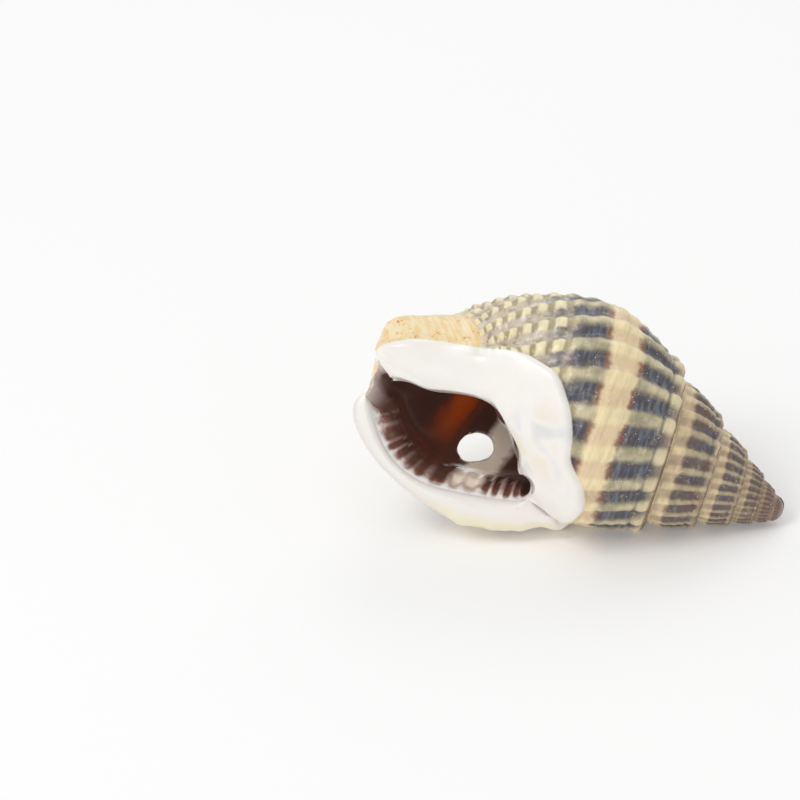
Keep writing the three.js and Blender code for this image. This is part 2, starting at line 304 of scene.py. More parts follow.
# Rows run round the coil from the lip, columns across the whorl. The lower edge of each whorl is
# the suture of the next one down, so both use the same vertices.
class OutsideGrid:
    def __init__(self):
        self.index = {}
        self.faces = []

    def at(self, row, column):
        steps = mesh["stepsPerTurn"]
        while column == mesh["bandSteps"] and row >= steps:
            row, column = row - steps, 0
        if column == acrossSteps:
            row = 0
        if column == 0:
            row = max(row, 0)
        key = (row, column)
        if key not in self.index:
            self.index[key] = len(self.index)
        return self.index[key]

    def face(self, a, b, c):
        if a != b and b != c and c != a:
            self.faces.append((a, c, b))

    def quad(self, a, b, c, d):
        self.face(a, b, c)
        self.face(a, c, d)


def buildOutside():
    grid = OutsideGrid()
    steps, band = mesh["stepsPerTurn"], mesh["bandSteps"]
    for i in range(firstRow, steps):
        for j in range(acrossSteps):
            grid.quad(grid.at(i, j), grid.at(i + 1, j), grid.at(i + 1, j + 1), grid.at(i, j + 1))
    lastRow = round(coil["turnCount"] * steps)
    fineRow = mesh["fineTurns"] * steps
    i = steps
    while i < lastRow:
        stride = 2 if i >= fineRow else 1
        for j in range(band):
            a, b = grid.at(i, j), grid.at(i + stride, j)
            c, d = grid.at(i + stride, j + 1), grid.at(i, j + 1)
            if stride == 2 and j == band - 1 and i - steps < fineRow:
                middle = grid.at(i + 1, j + 1)
                grid.face(a, b, middle)
                grid.face(b, c, middle)
                grid.face(a, middle, d)
            else:
                grid.quad(a, b, c, d)
        i += stride
    rim = [grid.at(i, 0) for i in range(lastRow - steps, lastRow, 2)]
    rim += [grid.at(lastRow, j) for j in range(band)]
    closeMouth(grid)
    return outsideArrays(grid, rim)


# The first whorl is a small smooth dome over the last row.
def domeOver(points, faces, rim):
    base = points[rim]
    tip = np.array([0, 0, -coil["apexDepth"]])
    rings = [np.array(rim)]
    added = []
    for angle in np.linspace(0, math.pi / 2, mesh["domeSteps"] + 1)[1:-1]:
        ring = tip + (base - tip) * [math.cos(angle), math.cos(angle), 1 - math.sin(angle)]
        rings.append(len(points) + len(added) * len(rim) + np.arange(len(rim)))
        added.append(ring)
    points = np.concatenate([points] + added + [tip[None]])
    for low, high in zip(rings[:-1], rings[1:]):
        for k in range(len(rim)):
            n = (k + 1) % len(rim)
            faces.append((low[k], low[n], high[n]))
            faces.append((low[k], high[n], high[k]))
    last = rings[-1]
    for k in range(len(rim)):
        faces.append((last[k], last[(k + 1) % len(rim)], len(points) - 1))
    return points, np.array(faces)


# The face of the lip runs in to the base of the whorl before it; the hollow opens it later.
def closeMouth(grid):
    steps = mesh["stepsPerTurn"]
    inner = [grid.at(steps, j) for j in range(mesh["bandSteps"], acrossSteps + 1)]
    outer = [grid.at(firstRow, j) for j in range(acrossSteps + 1)]
    k = 0
    for j in range(acrossSteps):
        target = (j + 1) * (len(inner) - 1) // acrossSteps
        grid.face(outer[j], outer[j + 1], inner[k])
        while k < target:
            grid.face(outer[j + 1], inner[k + 1], inner[k])
            k += 1


def outsideArrays(grid, rim):
    keys = list(grid.index)
    rows = np.array([key[0] for key in keys], float)
    columns = np.array([key[1] for key in keys], float)
    slots = np.array([grid.index[key] for key in keys])
    points = np.zeros((len(grid.index), 3))
    marks = np.zeros((len(grid.index), 2))
    across = acrossAt(columns)
    turn = np.maximum(rows, 0) / mesh["stepsPerTurn"]
    placed = outsidePoints(turn, across)
    rolled = rows < 0
    placed[rolled] += lipRoll(rows[rolled], across[rolled])
    points[slots] = placed
    marks[slots, 0] = np.maximum(-rows / mesh["lipSteps"], 0)
    marks[slots, 1] = np.clip(across - 1, 0, 2)
    points, faces = domeOver(points, grid.faces, rim)
    marks = np.concatenate([marks, np.zeros((len(points) - len(marks), 2))])
    return points, faces, marks


# Past the last row the surface rolls over into the face of the lip.
def lipRoll(rows, across):
    spots = np.linspace(0, 3, 201)
    still = np.zeros(len(spots))
    edge = outsidePoints(still, spots)
    run = np.gradient(edge, axis=0)
    inward = np.stack([run[:, 2], still, -run[:, 0]], axis=1)
    inward /= np.maximum(np.linalg.norm(inward, axis=1), 1e-9)[:, None]
    depth, radius = mouth["middle"]
    inward *= np.sign((inward * (np.array([radius, 0, -depth]) - edge)).sum(1))[:, None]
    pull = np.stack([np.interp(across, spots, inward[:, k]) for k in range(3)], axis=1)
    pull /= np.maximum(np.linalg.norm(pull, axis=1), 1e-9)[:, None]
    ends = smooth(*lip["starts"], across) * (1 - smooth(*lip["stops"], across))
    share = -rows / mesh["lipSteps"]
    angle = np.minimum(share, 1) * math.pi / 2
    flat = np.maximum(share - 1, 0) * mesh["lipSteps"] / mesh["lipFaceSteps"] * lip["face"]
    sink = ((lip["width"] * (1 - np.cos(angle)) + flat) * ends)[:, None] * pull
    sink[:, 1] -= lip["height"] * np.sin(angle) * ends
    return sink


mouth = {
    # Section of the hollow at the mouth, as depth and radius; the outer lip comes first.
    "outline": [
        (15.35, 5.3), (15.6, 5.85), (16.5, 6.25), (17.5, 6.55), (19.2, 7.0), (21.2, 7.35),
        (22.8, 7.15), (24.2, 6.5), (25.3, 5.5), (26.1, 4.5), (26.85, 3.75), (27.8, 3.3),
        (26.5, 2.75), (25.56, 2.72), (24.86, 2.25), (24.05, 2.3), (23.2, 2.2), (21.9, 1.75),
        (20.4, 1.35), (19.5, 1.45), (18.5, 1.95), (17.5, 2.7), (17.0, 3.4), (16.72, 3.95),
        (16.62, 4.4), (16.4, 4.6), (16.1, 4.45), (15.6, 4.6), (15.35, 4.95)],
    "lipSpan": (0.0207, 0.331),       # stretch of that outline along the outer lip
    "turns": 1.8,
    "reach": 3.5,
    "flare": 0.07,                 # the outer lip opens outwards, the columella side does not
    "middle": (20.8, 4.4),
    "rim": 0.45,                   # rounding of the inner edge of the lip
    "thickening": 0.75,            # the lip is thickest a little way in
    "liraCount": 16,
    "liraHeight": 0.1,
    "lipSpots": 118,
    "columellaSpots": 88,
    "wayRound": 40,                # millimetres in a turn, along the inside of the outer lip
}


# Ridges inside the lip, unevenly spaced; the ones near the suture stand out most.
def liraAt(share):
    count = mouth["liraCount"] * share + 0.16 * np.sin(19 * share) + 0.1 * np.sin(43 * share + 1)
    height = 0.8 + 0.2 * np.sin(27 * share + 2)
    return np.cos(fullTurn * count) * height * mix(1.2, 0.7, smooth(0.2, 0.6, share))


def mouthSpots():
    first, last = mouth["lipSpan"]
    alongLip = np.linspace(first, last, mouth["lipSpots"], endpoint=False)
    alongColumella = np.linspace(last, first + 1, mouth["columellaSpots"], endpoint=False)
    return np.concatenate([alongLip, alongColumella]) % 1


def buildHollow():
    spots = mouthSpots()
    section = curveAt(mouth["outline"], spots, closed=True)
    run = curveAt(mouth["outline"], (spots + 0.002) % 1, closed=True) - section
    outward = np.stack([-run[:, 1], run[:, 0]], axis=1)
    outward /= np.linalg.norm(outward, axis=1)[:, None]
    first, last = mouth["lipSpan"]
    share = (spots - first) / (last - first)
    onLip = smooth(-0.02, 0.1, share) * (1 - smooth(0.9, 1.04, share))
    lira = np.where(onLip > 0, liraAt(share), 0) * onLip
    middle = np.array(mouth["middle"])
    rings = []
    marks = []
    # in front of the mouth first, then round the coil, and closest together at the lip
    for ahead in list(np.linspace(mouth["reach"], 0.8, 8)) + list(np.linspace(0.7, 0.02, 13)):
        rim = mouth["rim"] * (np.exp((min(ahead, 0.55) - 0.55) / 0.2) + 2 * max(0, ahead - 0.55))
        ring = section + outward * (rim * onLip)[:, None]
        ring = middle + (ring - middle) * (1 + mouth["flare"] * ahead * onLip)[:, None]
        rings.append(np.stack([ring[:, 1], np.full(len(ring), -ahead), -ring[:, 0]], axis=1))
        back = np.full(len(ring), -ahead / mouth["wayRound"])
        marks.append(np.stack([back, lira, section[:, 0]], axis=1))
    turns = np.concatenate([np.linspace(0, 0.1, 26), np.linspace(0.105, 0.5, 30),
                            np.linspace(0.515, mouth["turns"], 40)])
    for turn in turns:
        inset = mouth["thickening"] * smooth(-0.004, 0.035, turn) * (1 - smooth(0.05, 0.13, turn))
        ridge = mouth["liraHeight"] * smooth(-0.003, 0.008, turn) * (1 - smooth(0.05, 0.1, turn))
        ring = section - outward * (inset * onLip + ridge * (lira + onLip))[:, None]
        ring = ring * shrink(turn)
        rings.append(placeRound(np.full(len(ring), turn), ring[:, 0], ring[:, 1]))
        marks.append(np.stack([np.full(len(ring), turn), lira, section[:, 0]], axis=1))
    points, faces = ringStack(rings)
    endMarks = [np.array([[-0.1, 0, 20]]), np.array([[1.9, 0, 20]])]     # the middles of the ends
    marks = np.concatenate(marks + endMarks)
    return points, faces, marks


# Closed skin over a row of rings, with a fan at each end.
def ringStack(rings):
    size = len(rings[0])
    points = np.concatenate(rings + [rings[0].mean(0)[None], rings[-1].mean(0)[None]])
    here = np.arange(size)
    after = (here + 1) % size
    faces = []
    for i in range(len(rings) - 1):
        low, high = i * size, (i + 1) * size
        faces.append(np.stack([low + here, high + after, high + here], axis=1))
        faces.append(np.stack([low + here, low + after, high + after], axis=1))
    front, end = len(points) - 2, len(points) - 1
    last = (len(rings) - 1) * size
    faces.append(np.stack([np.full(size, front), after, here], axis=1))
    faces.append(np.stack([np.full(size, end), last + here, last + after], axis=1))
    return points, np.concatenate(faces)


canal = {
    # Siphon canal through the front end, as depth, side and back.
    "from": (24.2, -3.9, 0.2),
    "to": (29.0, -2.5, 0.9),
    "radius": 0.75,
    "widens": 0.65,
    "notchAt": (28.2, -2.9),
    "notchRadius": 1.2,
    "notchReach": 6,
}
bore = {
    # Hole drilled through the back of the last whorl; it opens out a little and its edge is chipped.
    "at": (19.05, -4.2),
    "from": 3.0,
    "to": 10.0,
    "radius": 1.0,
    "long": 0.15,             # it is a little longer one way
    "longWay": 0.69,
    "flare": 0.06,
    "chips": 0.06,
}


def local(depth, side, back):
    return np.array([-side, back, -depth])


def rod(start, end, radiusAt, sides=56, rings=12):
    axis = (end - start) / np.linalg.norm(end - start)
    across = np.cross(axis, [0.3, 0.2, 1])
    across /= np.linalg.norm(across)
    over = np.cross(axis, across)
    angle = np.arange(sides) * fullTurn / sides
    stack = []
    for t in np.linspace(0, 1, rings):
        radius = radiusAt(t, angle)[:, None]
        spoke = np.cos(angle)[:, None] * across + np.sin(angle)[:, None] * over
        stack.append(start + (end - start) * t + spoke * radius)
    return ringStack(stack)


def buildCanal():
    return rod(local(*canal["from"]), local(*canal["to"]),
               lambda t, angle: np.full(angle.shape, canal["radius"] * (1 + canal["widens"] * t)))


def buildNotch():
    depth, side = canal["notchAt"]
    reach = canal["notchReach"]
    return rod(local(depth, side, -reach), local(depth, side, reach),
               lambda t, angle: np.full(angle.shape, canal["notchRadius"]))


def buildBore():
    depth, side = bore["at"]

    def radiusAt(t, angle):
        chips = np.sin(3 * angle + 1) + 0.7 * np.sin(7 * angle + 5 * t) + 0.5 * np.sin(11 * angle)
        oval = bore["long"] * np.cos(2 * (angle - bore["longWay"]))
        return bore["radius"] * (1 + bore["flare"] * (t - 0.4) + oval) + bore["chips"] * 0.4 * chips
    return rod(local(depth, side, bore["from"]), local(depth, side, bore["to"]), radiusAt, rings=40)


def putInScene(name, data):
    obj = bpy.data.objects.new(name, data)
    bpy.context.scene.collection.objects.link(obj)
    return obj


def makeObject(name, points, faces, surface):
    data = bpy.data.meshes.new(name)
    data.from_pydata(points.tolist(), [], faces.tolist())
    data.polygons.foreach_set("material_index", np.full(len(faces), surface, np.int32))
    return putInScene(name, data)


sliver = 0.002      # edges shorter than this are left over from the cuts


def cutAway(body, cutters):
    for cutter in cutters:
        cut = body.modifiers.new("cut", "BOOLEAN")
        cut.operation = "DIFFERENCE"
        cut.object = cutter
        cut.solver = "MANIFOLD"
        cut.material_mode = "INDEX"
    shown = body.evaluated_get(bpy.context.evaluated_depsgraph_get())
    data = bpy.data.meshes.new_from_object(shown)
    body.modifiers.clear()
    tidy = bmesh.new()
    tidy.from_mesh(data)
    bmesh.ops.triangulate(tidy, faces=tidy.faces, quad_method="FIXED", ngon_method="BEAUTY")
    bmesh.ops.dissolve_degenerate(tidy, dist=sliver, edges=tidy.edges)
    tidy.to_mesh(data)
    tidy.free()
    body.data = data
    for cutter in cutters:
        bpy.data.objects.remove(cutter)


surfaces = {"outside": 0, "hollow": 1, "canal": 2, "bore": 3}
rounding = {
    "strength": 0.6,
    "fades": (0.95, 0.85, 0.7, 0.55, 0.4, 0.25, 0.12),   # how far from a cut the easing reaches
    "rounds": {"lip": 36, "canal": 50, "bore": 4, "shield": 90},
}


def readOut(items, field, width=1):
    values = np.zeros(len(items) * width, np.int64)
    items.foreach_get(field, values)
    return values


def cornersOf(data):
    corners = np.zeros(len(data.vertices) * 3)
    data.vertices.foreach_get("co", corners)
    return corners.reshape(-1, 3)


def meshArrays(data):
    edges = readOut(data.edges, "vertices", 2).reshape(-1, 2)
    totals = readOut(data.polygons, "loop_total")
    owner = np.repeat(np.arange(len(totals)), totals)
    surface = readOut(data.polygons, "material_index")
    return cornersOf(data), readOut(data.loops, "vertex_index"), owner, surface, edges


def neighbourMean(values, edges, count):
    size = len(count)
    total = np.stack([
        np.bincount(edges[:, 0], values[edges[:, 1], k], size)
        + np.bincount(edges[:, 1], values[edges[:, 0], k], size) for k in range(values.shape[1])], axis=1)
    return total / np.maximum(count, 1)[:, None]


# How close each vertex is to a cut, 1 on it and less with every step away.
def nearCut(onCut, edges, count):
    reach = onCut.astype(float)
    near = reach.copy()
    for fade in rounding["fades"]:
        spread = (neighbourMean(near[:, None], edges, count)[:, 0] > 0).astype(float)
        reach = np.maximum(reach, spread * fade)
        near = np.maximum(near, spread)
    return reach


# The cut edges and the shield are worn smooth, and the rest stays sharp.
def roundCuts(data):
    points, loops, owner, surface, edges = meshArrays(data)
    size = len(points)
    kinds = np.zeros((size, 4), bool)
    kinds[loops, surface[owner]] = True
    count = np.bincount(edges.ravel(), minlength=size)
    onCut = kinds.sum(1) > 1
    byBore = onCut & kinds[:, surfaces["bore"]]
    byCanal = onCut & kinds[:, surfaces["canal"]]
    onShield = np.zeros(size)
    front = (points[:, 1] < 0) & ~kinds[:, surfaces["hollow"]]
    onShield[front] = smooth(0.45, 0.9, insideShield(-points[front, 2], -points[front, 0]))
    weights = {
        "lip": nearCut(onCut & ~byBore & ~byCanal, edges, count),
        "canal": nearCut(byCanal, edges, count),
        "bore": nearCut(byBore, edges, count),
        "shield": onShield,
    }
    for name, weight in weights.items():
        for _ in range(rounding["rounds"][name]):
            pull = neighbourMean(points, edges, count) - points
            points = points + rounding["strength"] * weight[:, None] * pull
    data.vertices.foreach_set("co", points.ravel())
    return points, kinds


pose = {
    "axisDip": math.radians(26),
    "upTurn": math.radians(211),
    "heading": math.radians(-12.6),
}


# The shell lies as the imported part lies: same turn, and the apex in the same place.
def restingTurn():
    dip, up = pose["axisDip"], pose["upTurn"]
    upward = Vector((math.cos(dip) * math.cos(up), math.cos(dip) * math.sin(up), -math.sin(dip)))
    apexward = (Vector((0, 0, 1)) + math.sin(dip) * upward).normalized()
    backward = upward.cross(apexward)
    return Matrix.Rotation(pose["heading"], 3, "Z") @ Matrix((apexward, backward, upward))


def layDown(points):
    turn = np.array(restingTurn())
    corners = cornersOf(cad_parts["shell"].data)
    axis = turn[:, 2]
    apex = corners[np.argmax(corners @ axis)]
    shift = apex - turn @ np.array([0, 0, -coil["apexDepth"]]) * mm
    placed = points @ turn.T * mm + shift
    placed[:, 2] = np.maximum(placed[:, 2], 0)
    return placed, turn, shift


# Where a place on the outside lies on the coil.
def coilPlace(points):
    depth = np.maximum(-points[:, 2], 0.3)
    angle = np.arctan2(points[:, 1], points[:, 0]) / fullTurn
    growth = math.log(coil["growthPerTurn"])
    raw = np.log(depth / coil["sutureDepth"]) / growth + angle
    whorl = np.maximum(np.where(angle < 0, 1, 0), np.ceil(-raw))
    across = (np.exp((raw + whorl) * growth) - 1) / (coil["growthPerTurn"] - 1)
    return whorl + angle, across


def nearestOf(source, marks, points):
    tree = KDTree(len(source))
    for i, point in enumerate(source):
        tree.insert(point, i)
    tree.balance()
    found = np.array([tree.find(point)[1] for point in points])
    return marks[found]


def addMark(data, name, values, kind="FLOAT"):
    layer = data.attributes.new(name, kind, "POINT")
    field = "vector" if kind == "FLOAT_VECTOR" else "value"
    layer.data.foreach_set(field, np.ascontiguousarray(values, np.float32).ravel())


def buildShell():
    outside, outsideFaces, outsideMarks = buildOutside()
    print("outside", len(outsideFaces), "faces")
    hollow, hollowFaces, hollowMarks = buildHollow()
    body = makeObject("nassaShell", outside, outsideFaces, surfaces["outside"])
    cutters = [makeObject("hollow", hollow, hollowFaces, surfaces["hollow"])]
    cutters.append(makeObject("canal", *buildCanal(), surfaces["canal"]))
    cutters.append(makeObject("notch", *buildNotch(), surfaces["canal"]))
    cutters.append(makeObject("bore", *buildBore(), surfaces["bore"]))
    for obj in [body] + cutters:
        for name in surfaces:
            obj.data.materials.append(paints[name])
    cutAway(body, cutters)
    data = body.data
    print("cut", len(data.polygons), "faces")
    points, kinds = roundCuts(data)
    turn, across = coilPlace(points)
    front = (points[:, 1] < 1) & kinds[:, surfaces["outside"]]
    glaze = np.full(len(points), -2.0)
    covered = insideShield(-points[front, 2], -points[front, 0])
    wraps = shield["wrap"] * smooth(*shield["wrapAt"], -points[front, 2])
    glaze[front] = np.clip(np.minimum(covered, wraps - shield["wrapFall"] * points[front, 1]), -2, 2)
    lining = nearestOf(hollow, hollowMarks, points)
    skin = nearestOf(outside, outsideMarks, points)
    across = baseAcross(across)
    addMark(data, "coil", points, "FLOAT_VECTOR")
    addMark(data, "rib", ribCrest(turn, across))
    addMark(data, "cord", cordCrest(across))
    addMark(data, "glaze", glaze)
    for name, values in zip(("lipFace", "towardsFront"), skin.T):
        addMark(data, name, values)
    for name, values in zip(("inward", "lira", "sectionDepth"), lining.T):
        addMark(data, name, values)
    placed, _, _ = layDown(points)
    data.vertices.foreach_set("co", placed.ravel())
    data.polygons.foreach_set("use_smooth", np.ones(len(data.polygons), bool))
    data.update()
    return body


# On the base the outline is steeper than the band, so depth is turned back into its own measure.
def baseAcross(across):
    spots = np.linspace(1, 2, 60)
    depths, _ = outlineAt(spots)
    measure = (depths / coil["sutureDepth"] - 1) / (coil["growthPerTurn"] - 1)
    return np.where(across > 1, np.interp(across, measure, spots), across)


def paint(red, green, blue):
    def linear(value):
        value = value / 255
        return value / 12.92 if value <= 0.04045 else ((value + 0.055) / 1.055) ** 2.4
    return (linear(red), linear(green), linear(blue), 1)


class Paintwork:
    def __init__(self, name):
        self.material = bpy.data.materials.new(name)
        self.material.use_nodes = True
        self.tree = self.material.node_tree
        self.shader = self.tree.nodes["Principled BSDF"]

    def feed(self, socket, value):
        if isinstance(value, bpy.types.NodeSocket):
            self.tree.links.new(value, socket)
        else:
            socket.default_value = value

    def node(self, kind, **values):
        made = self.tree.nodes.new("ShaderNode" + kind)
        for name, value in values.items():
            self.feed(made.inputs[name], value)
        return made

    def math(self, operation, *values):
        node = self.node("Math")
        node.operation = operation
        for socket, value in zip(node.inputs, values):
            self.feed(socket, value)
        return node.outputs[0]

    def plus(self, a, b):
        return self.math("ADD", a, b)

    def minus(self, a, b):
        return self.math("SUBTRACT", a, b)

    def times(self, a, b):
        return self.math("MULTIPLY", a, b)

    def over(self, a, b):
        return self.math("DIVIDE", a, b)

    def larger(self, a, b):
        return self.math("MAXIMUM", a, b)

    def fade(self, value, low, high, top=1.0):
        node = self.node("MapRange")
        node.interpolation_type = "SMOOTHSTEP"
        for name, part in (("Value", value), ("From Min", low), ("From Max", high), ("To Max", top)):
            self.feed(node.inputs[name], part)
        return node.outputs[0]

    def between(self, value, low, high, soft):
        rise = self.fade(value, low - soft, low + soft)
        fall = self.fade(value, high - soft, high + soft)
        return self.minus(rise, fall)

    def blend(self, factor, a, b):
        node = self.node("Mix")
        node.data_type = "RGBA"
        self.feed(node.inputs[0], factor)
        self.feed(node.inputs[6], a)
        self.feed(node.inputs[7], b)
        return node.outputs[2]

    def mark(self, name, output="Fac"):
        node = self.node("Attribute")
        node.attribute_name = name
        return node.outputs[output]

    def noise(self, vector, scale, detail=3.0, roughness=0.55):
        node = self.node("TexNoise", Vector=vector, Scale=scale, Detail=detail, Roughness=roughness)
        return node.outputs["Fac"]

    def specks(self, vector, scale, size):
        node = self.node("TexVoronoi", Vector=vector, Scale=scale)
        return self.fade(node.outputs["Distance"], size, size * 0.5)

    def combine(self, x, y, z):
        return self.node("CombineXYZ", X=x, Y=y, Z=z).outputs[0]

    def split(self, vector):
        return self.node("SeparateXYZ", Vector=vector).outputs

    def emboss(self, height, strength, distance):
        node = self.node("Bump", Strength=strength, Distance=distance, Height=height)
        self.feed(self.shader.inputs["Normal"], node.outputs[0])

    def gloss(self, look):
        self.feed(self.shader.inputs["Roughness"], look["roughness"])
        self.feed(self.shader.inputs["Coat Weight"], look["coat"])
        self.feed(self.shader.inputs["Coat Roughness"], look["coatRoughness"])


# Turn and across from the coil coordinates, the same sum as coilPlace.
def coilNodes(work):
    coilMark = work.mark("coil", "Vector")
    x, y, z = work.split(coilMark)
    depth = work.larger(work.times(z, -1.0), 0.3)
    angle = work.over(work.math("ARCTAN2", y, x), fullTurn)
    whorls = work.math("LOGARITHM", work.over(depth, coil["sutureDepth"]), coil["growthPerTurn"])
    raw = work.plus(whorls, angle)
    front = work.math("LESS_THAN", angle, 0.0)
    whorl = work.larger(front, work.math("CEIL", work.times(raw, -1.0)))
    grown = work.math("POWER", coil["growthPerTurn"], work.plus(raw, whorl))
    across = work.over(work.minus(grown, 1.0), coil["growthPerTurn"] - 1)
    return coilMark, work.plus(whorl, angle), across, depth


outsideLook = {
    "cream": paint(252, 233, 184),
    # painted shade for the cream between the ribs
    "creamGapShade": paint(238, 213, 173),
    "slate": paint(71, 72, 81),
    "slateLight": paint(126, 129, 142),
    "olive": paint(168, 158, 128),
    "oliveCrestTintAndHighlight": paint(218, 206, 170),
    "baseBead": paint(250, 238, 196),
    "baseBeadDark": paint(178, 164, 128),
    "baseGap": paint(150, 141, 134),
    "neckGap": paint(214, 199, 176),
    "redBrown": paint(128, 66, 44),
    "sutureBrown": paint(104, 72, 54),
    "bead": paint(226, 210, 172),
    "fasciole": paint(250, 232, 190),
    "fascioleDeep": paint(246, 212, 146),
    "orange": paint(222, 134, 58),
    "spire": paint(118, 88, 78),
    "tanRib": paint(224, 201, 160),
    "tanGap": paint(106, 92, 86),
    "porcelain": paint(252, 249, 243),
    "lipCream": paint(250, 240, 214),
    "lipGrey": paint(236, 230, 226),
    "glazeWarm": paint(248, 241, 233),
    "glazeCream": paint(240, 228, 198),
    "glazeBlue": paint(206, 210, 216),
    "roughness": 0.34,
    "coat": 0.25,
    "coatRoughness": 0.2,
    # where things lie across the whorl: from, to, and how soft the edge is
    "upperBand": (0.12, 0.69, 0.045),
    "lowerBand": (1.12, 1.6, 0.06),
    "upperFringe": (0.655, 0.725, 0.04),
    "lowerFringe": (1.09, 1.155, 0.04),
    "beadRow": (0.035, 0.18, 0.04),
    "beadGroove": (0.19, 0.225, 0.012),
    # the same in millimetres
    "thinGlazeDepth": (14.6, 18.2, 0.8),
    "thinGlazeSide": (0.6, 4.0, 1.0),
}


def paintOutside():
    look = outsideLook
    work = Paintwork("ribbed outside")
    coilMark, turn, across, depth = coilNodes(work)
    front = work.mark("towardsFront")
    cord = work.mark("cord")
    cloud = work.noise(coilMark, 0.5, 3)
    patch = work.noise(coilMark, 0.8, 2)
    fine = work.noise(coilMark, 2.2, 3)
    shiver = work.times(work.minus(fine, 0.5), 0.1)
    wander = work.times(work.minus(cloud, 0.5), 0.14)
    place = work.plus(across, work.plus(shiver, wander))
    grain = work.times(work.minus(fine, 0.5), 0.5)
    rib = work.plus(work.mark("rib"), grain)
    # gap is 1 between the ribs: it carries the real slate of the dark bands, and painted shade in the
    # cream
    gap = work.fade(rib, 0.86, 0.3)
    # fine lines run with the coil
    thread = work.combine(work.times(across, 17.0), work.times(turn, 26.0), depth)
    threads = work.noise(thread, 1.0, 2)
    # Painted shade: the cream darkens in the gaps between the ribs, where the hollows would be shaded.
    cream = work.blend(gap, look["cream"], look["creamGapShade"])
    # two dark bands: one under the suture beads, one at the edge of the base
    upper = work.between(place, *look["upperBand"])
    lower = work.between(place, *look["lowerBand"])
    bands = work.larger(upper, lower)
    # Rib crests in the dark bands: partly paler ribs, partly a painted highlight along their rounded
    # tops.
    crest = work.times(work.fade(rib, 0.62, 1.05), work.fade(patch, 0.3, 0.6))
    darkRib = work.blend(crest, look["olive"], look["oliveCrestTintAndHighlight"])
    dark = work.blend(work.fade(threads, 0.42, 0.7, 0.7), look["slate"], look["slateLight"])
    colour = work.blend(bands, cream, work.blend(gap, darkRib, dark))
    fringe = work.larger(work.between(place, *look["upperFringe"]),
                         work.between(place, *look["lowerFringe"]))
    fringe = work.times(fringe, work.times(gap, 0.8))
    colour = work.blend(fringe, colour, look["redBrown"])
    # beaded base below the second band
    neck = work.fade(across, 1.7, 1.95)
    cordGap = work.fade(work.plus(cord, work.times(grain, 0.6)), 0.62, 0.12)
    beads = work.blend(cordGap, look["baseBead"], look["baseBeadDark"])
    between = work.blend(neck, look["baseGap"], look["neckGap"])
    between = work.blend(work.fade(fine, 0.45, 0.75, 0.55), between, look["lipGrey"])
    between = work.blend(work.fade(fine, 0.5, 0.3, 0.5), between, look["slate"])
    between = work.blend(work.fade(rib, 0.4, 0.8), between, beads)
    colour = work.blend(work.fade(place, 1.44, 1.68), colour, work.blend(gap, beads, between))
    # beads under the suture, with slate between them and a dark line in the suture
    row = work.between(across, *look["beadRow"])
    row = work.times(row, work.fade(turn, 1.35, 0.9, 0.75))
    notch = work.fade(rib, 0.76, 0.1, 0.9)
    colour = work.blend(row, colour, work.blend(notch, look["bead"], look["slate"]))
    groove = work.between(across, *look["beadGroove"])
    colour = work.blend(work.times(groove, 0.35), colour, look["slate"])
    colour = work.blend(work.fade(across, 0.06, 0.02, 0.9), colour, look["sutureBrown"])
    tan = work.times(work.fade(turn, 0.8, 1.5), work.fade(patch, 0.2, 0.6, 0.85))
    tanGap = work.blend(work.fade(patch, 0.56, 0.68, 0.4), look["tanGap"], look["redBrown"])
    tanDark = work.blend(work.fade(rib, 0.5, 1.1, 0.6), tanGap, look["tanRib"])
    # Painted shade: the pale tan darkens a little towards the dark tan in the gaps between the ribs.
    tanPale = work.blend(work.times(gap, 0.4), look["tanRib"], look["tanGap"])
    tanPale = work.blend(work.fade(across, 0.2, 0.06, 0.7), tanPale, tanGap)
    colour = work.blend(tan, colour, work.blend(bands, tanPale, tanDark))
    spire = work.fade(depth, 5.5, 1.6, 0.75)
    colour = work.blend(spire, colour, look["spire"])
    dim = work.fade(threads, 0.6, 0.3, 0.16)
    colour = work.blend(dim, colour, look["sutureBrown"])
    # front end
    end = work.fade(front, 0.93, 1.04)
    grown = work.combine(work.times(front, 5.0), work.times(turn, 2.0), 0.0)
    streaks = work.noise(grown, 3.0)
    endColour = work.blend(work.fade(streaks, 0.4, 0.65), look["fasciole"], look["fascioleDeep"])
    colour = work.blend(end, colour, endColour)
    colour = finishOutside(work, colour, coilMark, turn, across, bands, end)
    work.feed(work.shader.inputs["Base Color"], colour)
    work.gloss(look)
    return work.material
